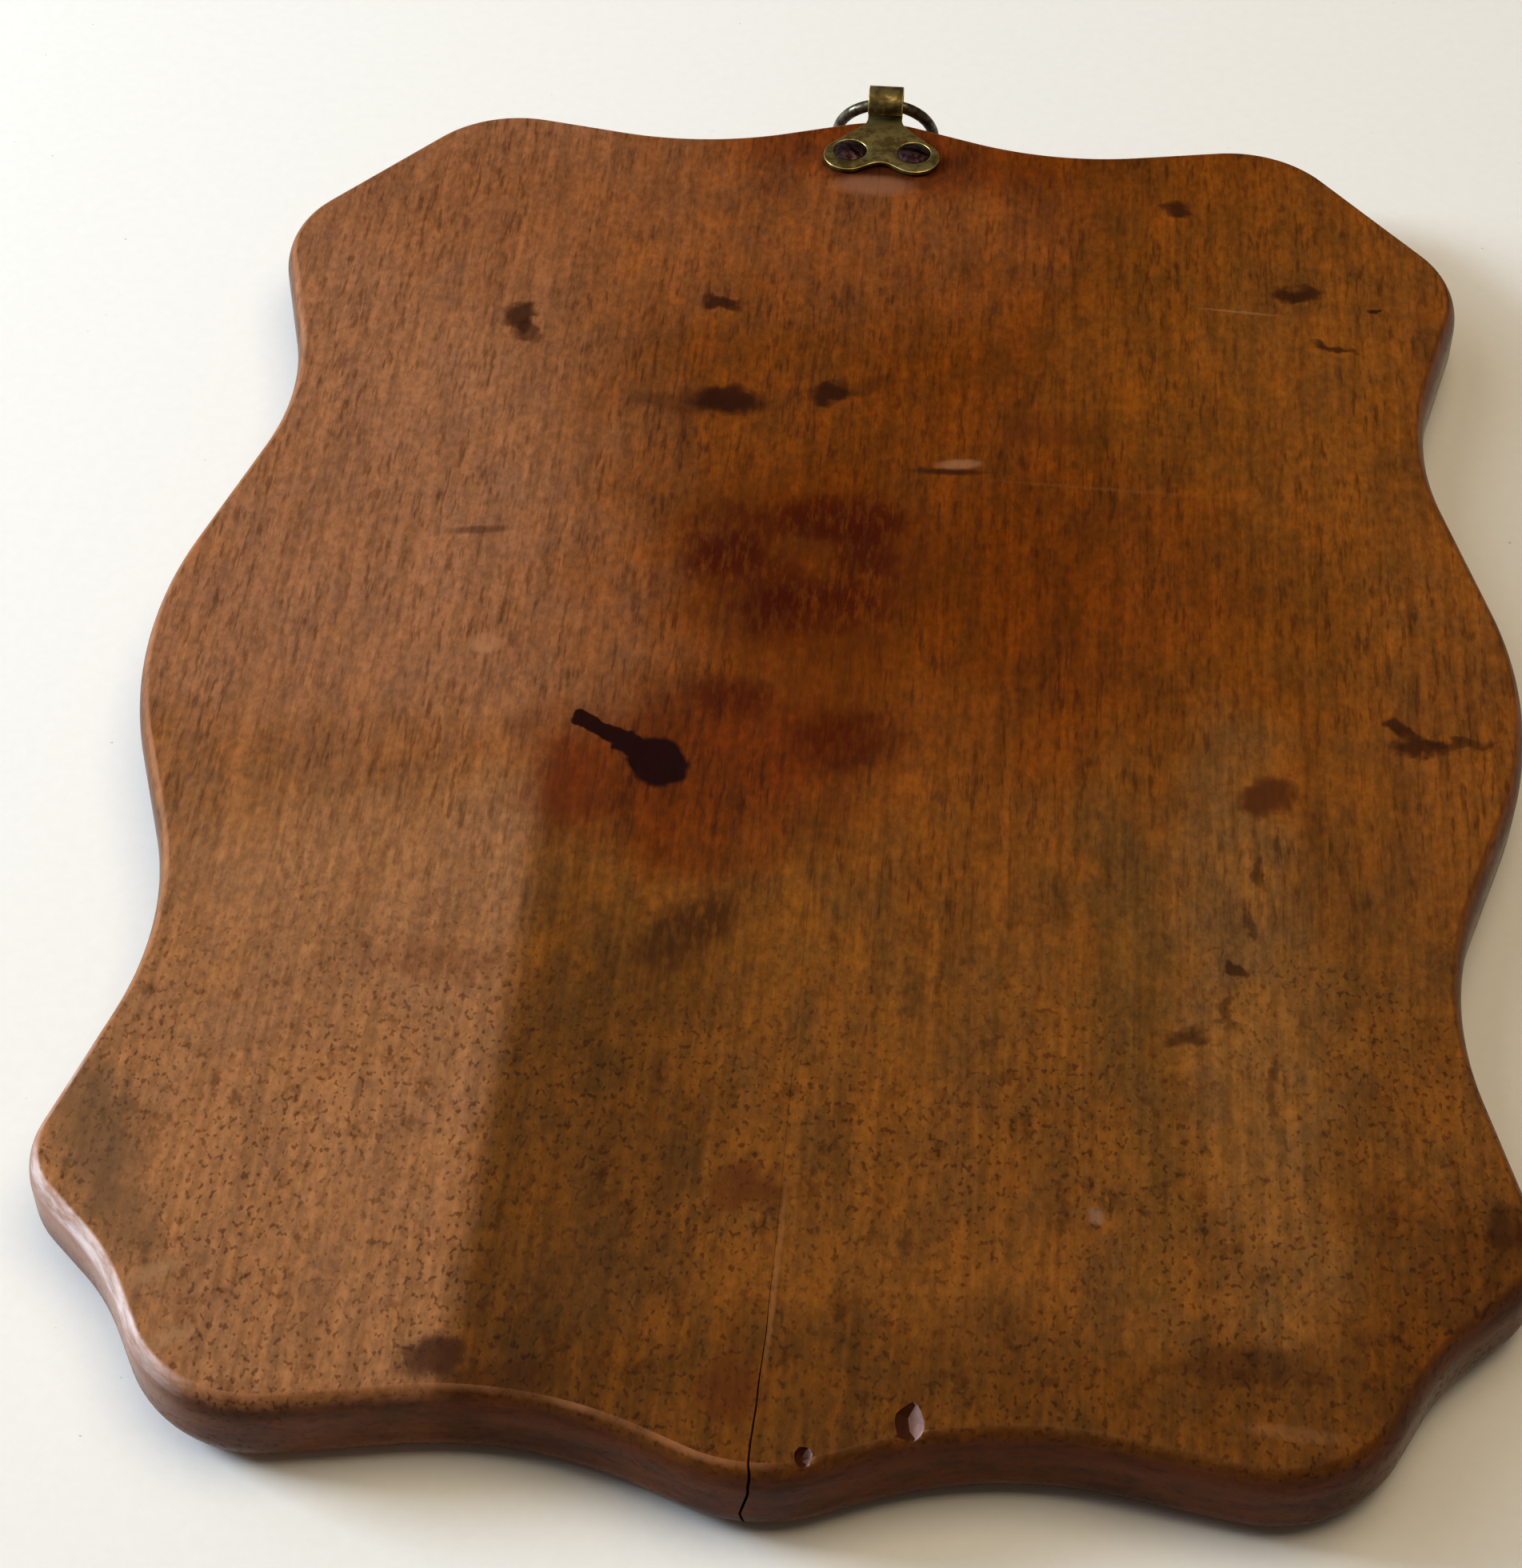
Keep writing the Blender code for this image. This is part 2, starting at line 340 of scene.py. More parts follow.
# Broad tints of the back: x, y, width, length, angle, softness, colour, strength
TINTS = (
    (-28, 104, 90, 44, 0, 0.7, (126, 74, 38), 0.70),
    (86, 70, 44, 90, 0, 0.7, (124, 74, 30), 0.60),
    (92, 0, 30, 60, 0, 0.7, (118, 72, 28), 0.60),
    (62, 55, 44, 120, 0, 0.7, (114, 67, 18), 0.60),
    (38, 20, 40, 44, 0, 0.7, (92, 38, 0), 0.50),
    (-14, -20, 46, 26, 0, 0.6, (86, 30, 0), 0.75),
    (-36, -20, 16, 22, 0, 0.6, (104, 48, 10), 0.60),
    (-27, -88, 32, 66, 0, 0.6, (84, 50, 14), 0.85),
    (12, -30, 40, 20, 0, 0.6, (116, 66, 20), 0.45),
    (0, 122, 46, 18, 0, 0.6, (84, 30, 4), 0.65),
    (62, -58, 18, 84, 2, 0.6, (122, 84, 44), 0.60),
    (46, -62, 8, 84, 2, 0.6, (88, 62, 28), 0.50),
    (76, -62, 10, 90, 0, 0.6, (92, 58, 22), 0.45),
    (88, -104, 30, 40, -20, 0.6, (80, 42, 4), 0.75),
    (24, -122, 150, 26, 0, 0.6, (76, 42, 4), 0.60),
    (-80, -112, 50, 30, -30, 0.7, (118, 74, 44), 0.45),
    (-30, 60, 40, 50, 0, 0.7, (112, 62, 20), 0.40),
)
# Stains in the finish, broken up by the grain: the same columns
MAROON = (60, 12, 0)
UMBER = (40, 14, 4)
STAINS = (
    (-6, 22, 32, 34, 0, 0.6, (76, 28, 0), 0.65),
    (0.0, 33.0, 17, 9, 0, 0.6, MAROON, 0.85),
    (3.8, 25.0, 7, 15, 0, 0.6, MAROON, 0.80),
    (-1.5, 13.5, 16, 9, 0, 0.6, MAROON, 0.90),
    (-8.5, 12.0, 9, 9, 0, 0.6, MAROON, 0.85),
    (-16.8, 23.5, 11, 9, 30, 0.6, MAROON, 0.90),
    (-9.5, 19.0, 9, 8, -30, 0.7, MAROON, 0.60),
    (-11, 31, 20, 5, -5, 0.8, MAROON, 0.50),
    (0, 1, 14, 18, 0, 0.8, (88, 36, 2), 0.45),
    (-12.8, -5.3, 9, 7, 0, 0.7, MAROON, 0.75),
    (3.8, -12.6, 12, 9, 0, 0.7, MAROON, 0.70),
    (-35.0, -24.0, 9, 14, 0, 0.7, (84, 30, 8), 0.60),
    (-15.0, -49.0, 8, 17, -38, 0.5, (60, 30, 8), 0.90),
    (-49.0, -57.4, 14, 5, 0, 0.8, (100, 52, 30), 0.50),
)
# Solid spots: the same columns
SPOTS = (
    (-54.6, 75.7, 4.5, 6.5, 0, 0.4, UMBER, 0.85),
    (-52.4, 72.0, 3.5, 6, 30, 0.4, UMBER, 0.70),
    (-22.4, 81.7, 6, 3.6, 0, 0.4, UMBER, 0.85),
    (-19.6, 58.3, 10, 6.5, 0, 0.4, UMBER, 0.90),
    (-24.0, 57.5, 18, 4, 0, 0.7, UMBER, 0.50),
    (-3.6, 61.1, 6, 4.5, 0, 0.4, UMBER, 0.85),
    (-0.5, 62.5, 12, 3, 20, 0.7, UMBER, 0.45),
    (50.4, 111.5, 5, 3.6, 0, 0.4, UMBER, 0.85),
    (69.1, 91.4, 9.5, 3.4, 0, 0.4, UMBER, 0.85),
    (81.3, 87.4, 1.8, 1.8, 0, 0.4, UMBER, 0.90),
    (74.5, 78.4, 6, 1.6, -15, 0.6, UMBER, 0.80),
    (62.9, -18.5, 6.4, 7, -30, 0.4, (72, 34, 12), 0.90),
    (81.8, -3.8, 2.6, 5, 25, 0.4, UMBER, 0.85),
    (84.4, -7.5, 7, 3.2, 0, 0.4, UMBER, 0.85),
    (90.7, -6.2, 9, 1.4, 5, 0.6, UMBER, 0.65),
    (58.1, -49.9, 2.6, 3.2, 0, 0.4, UMBER, 0.80),
    (52.3, -62.6, 4, 3, 20, 0.6, UMBER, 0.70),
    (61.2, -33.0, 1.3, 5, 0, 0.6, UMBER, 0.60),
    (60.0, -42.0, 1.2, 4, 0, 0.6, UMBER, 0.60),
    (57.0, -57.0, 1.4, 5, 10, 0.6, UMBER, 0.55),
    (63.0, -70.0, 1.3, 9, 0, 0.7, UMBER, 0.50),
    (-4.2, -91.1, 8, 6, 0, 0.7, (78, 36, 8), 0.70),
    (-39.9, -119.1, 6, 5, 0, 0.6, (50, 22, 10), 0.85),
    (-3.0, -121.0, 7, 9, 0, 0.6, (80, 34, 6), 0.55),
    (91.7, -90.0, 4, 7, 0, 0.4, UMBER, 0.60),
    (30.0, 55.0, 10, 5, 0, 0.8, (84, 36, 10), 0.45),
    (60.0, -112.0, 14, 5, 5, 0.8, UMBER, 0.45),
    (-88.5, -88.0, 8, 20, 20, 0.7, (88, 66, 44), 0.60),
    (-82.0, -102.0, 6, 12, 35, 0.7, (96, 70, 46), 0.50),
    (-32.0, -121.5, 13, 4, 8, 0.7, UMBER, 0.45),
    # painted shadow: a dark patch under the hanger plate, seen round its edge as the plate's shade on
    # the wood
    (0.6, 118.6, 17, 10, 0, 0.5, (44, 12, 2), 0.80),
)
# Scratches and small light or dark marks: the same columns
DENT = (44, 18, 6)
BARE = (158, 112, 78)
SCRATCHES = (
    (15.5, 44.6, 9.0, 1.2, 2, 0.7, DENT, 0.85),
    (17.0, 46.4, 5.0, 1.6, 8, 0.8, BARE, 0.50),
    (40.0, 42.6, 28.0, 0.6, -2, 0.7, (120, 72, 34), 0.25),
    (-54.4, 26.0, 6.5, 1.3, 8, 0.8, DENT, 0.55),
    (60.0, 86.0, 10.0, 0.5, -4, 0.6, BARE, 0.35),
    (-0.4, 113.7, 10.5, 4.2, 0, 0.6, (138, 90, 64), 0.70),
    (40.3, -91.8, 1.6, 2.2, 20, 0.6, (150, 118, 98), 0.35),
    (-50.0, 2.3, 4.4, 3.6, 0, 0.4, (176, 122, 84), 0.45),
    (-76.3, -109.8, 6.0, 2.4, 30, 0.6, (160, 120, 84), 0.50),
    (-71.9, -118.9, 5.0, 2.0, 30, 0.6, (160, 120, 84), 0.45),
    (64.5, -121.5, 9.0, 1.6, -4, 0.8, (140, 94, 58), 0.30),
    # painted highlight: a thin light line along the right edge of the joint, where it catches the
    # light
    (0.9, -104.0, 0.6, 22.0, -1, 0.7, (150, 98, 58), 0.32),
)
# The near-black spill, as bars with round ends: x, y, width, length, angle
SPILL = (22, 1, 2)
SPILL_MARKS = (
    (-22.6, -18.9, 7.8, 9.8, 30),
    (-29.0, -14.5, 2.9, 15.5, 61),
    (-26.0, -16.4, 4.2, 8.0, 61),
)


def pores(shader):
    """Open pores of the wood: long streaks towards the top, short dots towards the bottom."""
    streaks = shader.ramp(shader.noise((0.75, 5.0, 0.75), 2.0, 0.6), 0.50, 0.70, 0.0, 0.85)
    dots = shader.ramp(shader.noise((0.85, 1.25, 0.85), 1.0, 0.6, shift=7.0), 0.56, 0.67)
    wander = shader.math("MULTIPLY", shader.noise((30, 30, 30), shift=3.0), 80.0)
    height = shader.math("ADD", shader.axis("Y"), wander)
    upper = shader.ramp(height, -35.0, 15.0)
    both = shader.nodes.new("ShaderNodeMix")
    shader.put(both.inputs[0], upper)
    shader.put(both.inputs[2], dots)
    shader.put(both.inputs[3], streaks)
    crowded = shader.ramp(shader.noise((14, 30, 14), 3.0, shift=11.0), 0.30, 0.60, 0.45, 1.0)
    return shader.math("MULTIPLY", both.outputs[0], crowded)


def edge_highlight(shader):
    """1 on the eased edges round both faces, broken up by noise: a painted highlight where the edges
    catch the window's light, strongest on the left.
    """
    height = shader.math("ABSOLUTE", shader.math("SUBTRACT", shader.axis("Z"), THICKNESS / 2))
    near_face = shader.ramp(height, THICKNESS / 2 - 0.9, THICKNESS / 2 - 0.2)
    normal = shader.nodes.new("ShaderNodeNewGeometry").outputs["Normal"]
    flat = shader.math("ABSOLUTE", shader.split(normal).outputs["Z"])
    off_face = shader.ramp(flat, 0.93, 0.995, 1.0, 0.0)
    patchy = shader.ramp(shader.noise((9, 9, 9), 3.0, shift=5.0), 0.35, 0.6, 0.25, 1.0)
    # the painted edge highlight is strongest on the left, towards the window
    toward_window = shader.ramp(shader.axis("X"), -10.0, 25.0, 1.0, 0.15)
    edges = shader.math("MULTIPLY", near_face, off_face)
    return shader.math("MULTIPLY", edges, shader.math("MULTIPLY", patchy, toward_window))


def ground(shader, drift):
    """The finish's broad colours, golden below and red-brown above, with painted sheen on the left:
    paler in the upper left, and lower down a paler strip with a straight edge at x = -38.
    """
    x_drift, y_drift = drift
    colour = shader.mix(shader.ramp(y_drift, 10.0, -55.0), rgb(*UPPER), rgb(*LOWER))
    low = shader.ramp(y_drift, -6.0, -30.0)
    # painted sheen: paler towards the left, in the upper part
    left = shader.ramp(x_drift, -14.0, -56.0)
    left = shader.math("MULTIPLY", left, shader.math("SUBTRACT", 1.0, low))
    colour = shader.mix(left, colour, rgb(*LEFT_SHEEN))
    for x, y, width, length, angle, soft, tint, strength in TINTS:
        share = shader.spot(drift, x, y, width, length, angle, soft, strength)
        colour = shader.mix(share, colour, rgb(*tint))
    low = shader.ramp(y_drift, 0.0, -45.0)
    # painted sheen: a paler strip left of x = -38 in the lower part, with a straight edge
    sheen_strip = shader.math("MULTIPLY", shader.ramp(shader.axis("X"), -35.5, -41.5), low)
    return shader.mix(sheen_strip, colour, rgb(*STRIP_SHEEN)), shader.math("MAXIMUM", sheen_strip, left)


def grained(shader, colour, sheen_share, open_pores):
    """Lengthwise stripes, mottling, flecks, smudges and pores over the ground colour."""
    stripes = shader.ramp(shader.noise((1.6, 34, 1.6), 3.0, 0.6), 0.32, 0.68)
    colour = shader.shaded(colour, stripes, 0.84, 1.20)
    clouds = shader.ramp(shader.noise((6, 10, 6), 4.0, 0.65, shift=1.0), 0.3, 0.7)
    warm = shader.mix(1.0, colour, (1.22, 1.08, 0.75, 1.0), "MULTIPLY")
    dull = shader.mix(1.0, colour, (0.76, 0.78, 0.90, 1.0), "MULTIPLY")
    mottled = shader.mix(clouds, dull, warm)
    # less mottling under the painted sheen
    share = shader.math("SUBTRACT", 1.0, shader.math("MULTIPLY", sheen_share, 0.65))
    colour = shader.mix(share, colour, mottled)
    fleck = shader.ramp(shader.noise((1.1, 2.0, 1.1), 3.0, 0.7, shift=2.0), 0.3, 0.7)
    colour = shader.shaded(colour, fleck, 0.82, 1.24)
    blotches = shader.ramp(shader.noise((3.2, 4.6, 3.2), 3.0, 0.65, shift=17.0), 0.56, 0.70)
    lower = shader.ramp(shader.axis("Y"), -10.0, -80.0, 0.15, 0.75)
    smudged = shader.mix(1.0, colour, (0.55, 0.48, 0.42, 1.0), "MULTIPLY")
    colour = shader.mix(shader.math("MULTIPLY", blotches, lower), colour, smudged)
    dark = shader.mix(1.0, colour, (0.36, 0.29, 0.24, 1.0), "MULTIPLY")
    return shader.mix(shader.math("MULTIPLY", open_pores, 0.8), colour, dark)


def marked(shader, colour, place, marks):
    """The colour with a table of marks over it."""
    for x, y, width, length, angle, soft, tint, strength in marks:
        share = shader.spot(place, x, y, width, length, angle, soft, strength)
        colour = shader.mix(share, colour, rgb(*tint))
    return colour


def back_marks(shader, plain):
    """Stains, spots, scratches and the spill, on the back only."""
    ragged = shader.on_face(shader.wobbled(4.0, 3.2))
    wiry = shader.on_face(shader.wobbled(1.2, 0.35))
    blotted = shader.wobbled(3.0, 1.1)
    grain = shader.noise((1.1, 4.5, 1.1), 4.0, 0.7, shift=13.0)
    broken = shader.ramp(grain, 0.38, 0.56, 0.50, 1.0)
    colour = shader.mix(broken, plain, marked(shader, plain, ragged, STAINS))
    colour = marked(shader, colour, ragged, SPOTS)
    colour = marked(shader, colour, wiry, SCRATCHES)
    spill = 0.0
    for x, y, width, length, angle in SPILL_MARKS:
        spill = shader.math("MAXIMUM", spill, shader.bar(blotted, x, y, width, length, angle, 0.14))
    colour = shader.mix(shader.math("MULTIPLY", spill, 0.97), colour, rgb(*SPILL))
    on_back = shader.ramp(shader.axis("Z"), 10.0, 12.0)
    return shader.mix(on_back, plain, colour)


def walls(shader, colour, drift):
    """Dark streaked walls, with painted highlights on the eased edges, and at the lower left corner a
    painted reflection with a painted highlight on its rim.
    """
    height = shader.axis("Z")
    from_middle = shader.math("ABSOLUTE", shader.math("SUBTRACT", height, THICKNESS / 2))
    wall = shader.ramp(from_middle, THICKNESS / 2 - 0.3, THICKNESS / 2 - 2.5, 0.0, 0.85)
    streaks = shader.ramp(shader.noise((11, 11, 2.6), 4.0, 0.7, shift=6.0), 0.32, 0.68)
    wall_colour = shader.mix(streaks, rgb(*WALL_DARK), rgb(*WALL_LIGHT))
    colour = shader.mix(wall, colour, wall_colour)
    # painted highlight along the eased edges
    edge_glint = shader.math("MULTIPLY", edge_highlight(shader), 0.45)
    colour = shader.mix(edge_glint, colour, rgb(*EDGE_GLINT))

    # painted reflection and highlight: the corner's wall painted mauve as the window's reflection, its
    # rounded rim painted near-white as a highlight
    corner = shader.spot(drift, -86, -101, 24, 42, 35, 0.5, 0.8)
    corner = shader.math("MULTIPLY", corner, shader.ramp(height, 14.5, 14.3))
    corner_sheen = shader.math("MULTIPLY", corner, shader.ramp(height, 3.0, 11.0))
    colour = shader.mix(corner_sheen, colour, rgb(*CORNER_SHEEN))
    rim = shader.math("MULTIPLY", corner, streaks)
    rim = shader.math("MULTIPLY", rim, shader.ramp(height, 11.0, 12.8))
    return shader.mix(rim, colour, rgb(*CORNER_HIGHLIGHT)), wall


def stained_wood():
    shader = Shader("stained_mahogany")
    shader.surface.inputs["Specular IOR Level"].default_value = WOOD_GLOSS
    drift = shader.on_face(shader.wobbled(26.0, 16.0))
    open_pores = pores(shader)
    colour, sheen_share = ground(shader, drift)
    plain = grained(shader, colour, sheen_share, open_pores)
    colour, wall = walls(shader, back_marks(shader, plain), drift)

    gloss = shader.ramp(shader.noise((18, 30, 18), 3.0, shift=9.0), 0.3, 0.7, 0.38, 0.50)
    smoother = shader.math("SUBTRACT", 1.0, shader.math("MULTIPLY", wall, 0.45))
    gloss = shader.math("MULTIPLY", gloss, smoother)
    roughness = shader.math("ADD", gloss, shader.math("MULTIPLY", open_pores, 0.15))
    fibres = shader.noise((0.7, 14, 0.7), 2.0, shift=4.0)
    relief = shader.math("SUBTRACT", shader.math("MULTIPLY", fibres, 0.5), open_pores)
    normal = shader.bump(relief, 0.04, 0.5)
    normal = shader.bump(shader.noise((13, 22, 13), 2.0, shift=8.0), 0.4, 0.3, normal)
    return shader.finish(colour, roughness, normal)


def torn_wood():
    """Torn fibres in the chips of the edge, with painted light: walls that face the window are painted
    light as a highlight and are shiny, the others are painted dark as shade.
    """
    shader = Shader("torn_wood")
    fibres = shader.noise((0.4, 3.0, 0.4), 3.0)
    normal = shader.nodes.new("ShaderNodeNewGeometry").outputs["Normal"]
    # painted light and shade: light where the wall faces the window, dark elsewhere
    window_side = shader.ramp(shader.split(normal).outputs["X"], -0.05, -0.35)
    colour = shader.mix(window_side, rgb(58, 26, 12), rgb(150, 122, 118))
    colour = shader.mix(shader.math("MULTIPLY", fibres, 0.6), colour, rgb(84, 44, 28))
    return shader.finish(colour, 0.3, shader.bump(fibres, 0.1, 0.5))


def metal(name, dark, light, roughness, patch=1.2):
    """Old metal: dark patina over a brighter ground, with fine pitting."""
    shader = Shader(name)
    shader.surface.inputs["Metallic"].default_value = 0.9
    patina = shader.noise((patch, patch, patch), 4.0, 0.6)
    colour = shader.mix(shader.ramp(patina, 0.38, 0.62), rgb(*dark), rgb(*light))
    dull = shader.ramp(patina, 0.35, 0.65, roughness + 0.12, roughness - 0.06)
    pits = shader.noise((0.22, 0.22, 0.22), 3.0, shift=5.0)
    normal = shader.bump(pits, 0.04, 0.5)
    normal = shader.bump(patina, 0.12, 0.4, normal)
    return shader.finish(colour, dull, normal)


def table_top():
    shader = Shader("table_top")
    mottle = shader.ramp(shader.noise((2, 2, 2), 4.0, 0.7), 0.25, 0.75)
    colour = shader.mix(mottle, rgb(240, 240, 238), rgb(243, 243, 241))
    specks = shader.ramp(shader.noise((1.1, 1.1, 1.1), 1.0, shift=6.0), 0.80, 0.84)
    colour = shader.mix(shader.math("MULTIPLY", specks, 0.5), colour, rgb(120, 112, 100))
    normal = shader.bump(shader.noise((2.5, 2.5, 2.5), 3.0), 0.08, 0.4)
    return shader.finish(colour, 0.55, normal)


# Mesh helpers

def add_ring(shape, points):
    return [shape.verts.new([mm(value) for value in point]) for point in points]


def bridge(shape, first, second, closed=True):
    """Quads between two rings of as many vertices each."""
    for i in range(len(first) if closed else len(first) - 1):
        j = (i + 1) % len(first)
        shape.faces.new((first[i], first[j], second[j], second[i]))


def add_piece(name, shape, *surfaces, sharp=40):
    bmesh.ops.recalc_face_normals(shape, faces=shape.faces)
    mesh = bpy.data.meshes.new(name)
    shape.to_mesh(mesh)
    shape.free()
    mesh.shade_smooth()
    mesh.set_sharp_from_angle(angle=math.radians(sharp))
    for surface in surfaces:
        mesh.materials.append(surface)
    piece = bpy.data.objects.new(name, mesh)
    bpy.context.scene.collection.objects.link(piece)
    return piece


def cut(piece, *cutters):
    """Takes the cutters out of the piece and removes them."""
    for cutter in cutters:
        modifier = piece.modifiers.new(cutter.name, "BOOLEAN")
        modifier.operation = "DIFFERENCE"
        modifier.solver = "EXACT"
        modifier.material_mode = "TRANSFER"
        modifier.object = cutter
    settle(piece)
    for cutter in cutters:
        bpy.data.objects.remove(cutter, do_unlink=True)


def bevel(piece, width, segments, surface_index=0):
    modifier = piece.modifiers.new("eased_edges", "BEVEL")
    modifier.width = mm(width)
    modifier.segments = segments
    modifier.limit_method = "ANGLE"
    modifier.angle_limit = math.radians(40)
    modifier.material = surface_index
    settle(piece)
    piece.data.shade_smooth()
    piece.data.set_sharp_from_angle(angle=math.radians(38))


def settle(piece):
    """Turns the piece's modifiers into its mesh."""
    graph = bpy.context.evaluated_depsgraph_get()
    mesh = bpy.data.meshes.new_from_object(piece.evaluated_get(graph))
    piece.modifiers.clear()
    piece.data = mesh


def flatten_faces(piece):
    """Keeps the broad faces and the joint's walls flat, so that the rounded edges don't shade them."""
    for face in piece.data.polygons:
        on_joint = abs(face.normal.x) > 0.8 and abs(face.center.x) < mm(3)
        face.use_smooth = not (abs(face.normal.z) > 0.985 or on_joint)


def stand_for(piece, node, body):
    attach(piece, body)
    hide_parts(node)


# Outlines

def tangent_normal(first, second):
    """Direction of the outward normal of the tangent that runs from one circle to the next."""
    across = Vector(second[:2]) - Vector(first[:2])
    reach = first[3] * first[2] - second[3] * second[2]
    return math.atan2(across.y, across.x) + math.acos(reach / across.length)


def tangent_outline(circles, ends, step, inset=0.0, trimmed=None):
    """Points clockwise round circles joined by tangents, between two normal angles.

    Trimmed gives other end angles, which don't change the number of points.
    """
    joints = [tangent_normal(first, second) for first, second in zip(circles, circles[1:])]
    whole = [ends[0], *joints, ends[1]]
    counts = []
    for (_, _, radius, side), into, out in zip(circles, whole, whole[1:]):
        counts.append(max(2, math.ceil(abs(arc_swing(side, into, out)) * radius / step)))
    first, last = trimmed or ends
    normals = [first, *joints, last]
    points = []
    for (x, y, radius, side), into, out, count in zip(circles, normals, normals[1:], counts):
        reach = side * radius - inset
        for i in range(count + 1):
            angle = into + arc_swing(side, into, out) * i / count
            points.append((x + reach * math.cos(angle), y + reach * math.sin(angle)))
    return points


def arc_swing(side, into, out):
    """A bump is followed clockwise and a hollow anticlockwise."""
    return -side * (side * (into - out) % (2 * math.pi))


# Board

def round_point(angle, inset, depth):
    """Inset and depth of a point of the rounded edge; both end at the face when angle is ARRIS."""
    return (inset * (1 - math.cos(angle)) / (1 - math.cos(ARRIS)),
            depth * (1 - math.sin(angle) / math.sin(ARRIS)))


def rounded_edge(inset, depth):
    """Insets and depths from the face to the widest outline, with the edge of the face eased."""
    below = Vector(round_point(EASED, inset, depth))
    corner = Vector((inset, 0.0))
    on_face = Vector((inset + EASE_INSET, 0.0))
    rows = []
    for i in range(EASE_ROWS):
        share = i / EASE_ROWS
        rows.append(on_face.lerp(corner, share).lerp(corner.lerp(below, share), share))
    for i in range(ROUND_ROWS, -1, -1):
        rows.append(round_point(EASED * i / ROUND_ROWS, inset, depth))
    return rows


def board_rows():
    """Inset and height of each row of the wall, from the back face to the front face."""
    back = [(inset, THICKNESS - depth) for inset, depth in rounded_edge(BACK_INSET, BACK_ROUND)]
    front = [(inset, depth) for inset, depth in rounded_edge(FRONT_INSET, FRONT_ROUND)]
    return back + front[::-1]


def seam_edge(side, y, z):
    """x of a plank's edge along the joint: side is 1 for the right plank, -1 for the left."""
    opened = min(max((SEAM_OPENS - y) / (SEAM_OPENS - SEAM_END), 0.0), 1.0)
    depth = 1 - z / THICKNESS
    tear = TEAR_REACH * (math.sin(2.6 * math.pi * depth) - depth)
    jag = JAG_REACH * noise.noise(Vector((0.2, y * 0.5, z * 0.4)))
    middle = SEAM_X + opened ** 2 * (SEAM_SHIFT + tear) + opened * jag
    gap = SEAM_CLOSED + (SEAM_GAP - SEAM_CLOSED) * opened ** 1.6
    return middle + side * gap / 2


def plank_ring(side, inset, z):
    """One row of a plank: its outline from the top to the bottom, then back up the joint."""
    top_reach = OUTLINE[0][2] - inset
    foot_reach = OUTLINE[-1][2] - inset
    start = math.acos(side * seam_edge(side, OUTLINE[0][1] + top_reach, z) / top_reach)
    end = -math.acos(side * seam_edge(side, OUTLINE[-1][1] - foot_reach, z) / foot_reach)
    ends = (math.pi / 2, -math.pi / 2)
    half = tangent_outline(OUTLINE, ends, OUTLINE_STEP, inset, trimmed=(start, end))
    points = [(side * x, y) for x, y in half]
    y = -SEAM_REACH
    while y < SEAM_REACH:
        points.append((seam_edge(side, y, z), y))
        y += SEAM_FINE_STEP if y < SEAM_OPENS else SEAM_STEP
    return [(x, y, z) for x, y in points]


def chip(name, place, radii, surface):
    """A notch with flat facets, where a splinter broke from the edge."""
    noise.seed_set(CHIP_SEED)
    shape = bmesh.new()
    bmesh.ops.create_icosphere(shape, subdivisions=2, radius=1.0)
    for vertex in shape.verts:
        jolt = noise.noise_vector(vertex.co * 1.7 + Vector(place)) * 0.25
        spot = vertex.co + jolt
        vertex.co = [mm(centre + radius * value) for centre, radius, value in zip(place, radii, spot)]
    return add_piece(name, shape, surface, sharp=10)


def plank(side, name, wood, torn):
    shape = bmesh.new()
    rings = [add_ring(shape, plank_ring(side, inset, z)) for inset, z in board_rows()]
    for upper, lower in zip(rings, rings[1:]):
        bridge(shape, upper, lower)
    shape.faces.new(rings[0])
    shape.faces.new(rings[-1])
    piece = add_piece(name, shape, wood, torn)
    cutters = [pilot_hole(name, side, wood)]
    if side > 0:
        cutters += [chip(chip_name, place, radii, torn) for chip_name, place, radii in CHIPS]
    cut(piece, *cutters)
    flatten_faces(piece)
    stand_for(piece, name, "plaque")


# Hanger

def screw_place(side):
    return HANGER_X + side * SCREW_SPREAD, SCREW_Y, PLATE_TOP


def turned(name, profile, place, surface):
    """Solid of revolution about a vertical axis through (radius, z) points, from the top down."""
    shape = bmesh.new()
    x, y, z = place
    angles = [2 * math.pi * i / SCREW_SEGMENTS for i in range(SCREW_SEGMENTS)]
    rings = []
    for radius, height in profile[1:-1]:
        points = [(x + radius * math.cos(a), y + radius * math.sin(a), z + height) for a in angles]
        rings.append(add_ring(shape, points))
    top, foot = add_ring(shape, [(x, y, z + profile[0][1]), (x, y, z + profile[-1][1])])
    for upper, lower in zip(rings, rings[1:]):
        bridge(shape, upper, lower)
    for i in range(SCREW_SEGMENTS):
        j = (i + 1) % SCREW_SEGMENTS
        shape.faces.new((top, rings[0][i], rings[0][j]))
        shape.faces.new((foot, rings[-1][i], rings[-1][j]))
    return add_piece(name, shape, surface, sharp=30)


def pilot_hole(name, side, surface):
    """The countersunk hole through the plate and the pilot hole in the wood, as a cutter."""
    rim = HEAD_RADIUS + HEAD_CLEARANCE
    pilot = SHANK_RADIUS + CLEARANCE
    cone_end = HEAD_RIM + rim - pilot
    profile = [(0, 1.0), (rim, 1.0), (rim, -HEAD_RIM), (pilot, -cone_end),
               (pilot, -PILOT_DEPTH), (0, -PILOT_DEPTH)]
    return turned(f"pilot_{name}", profile, screw_place(side), surface)


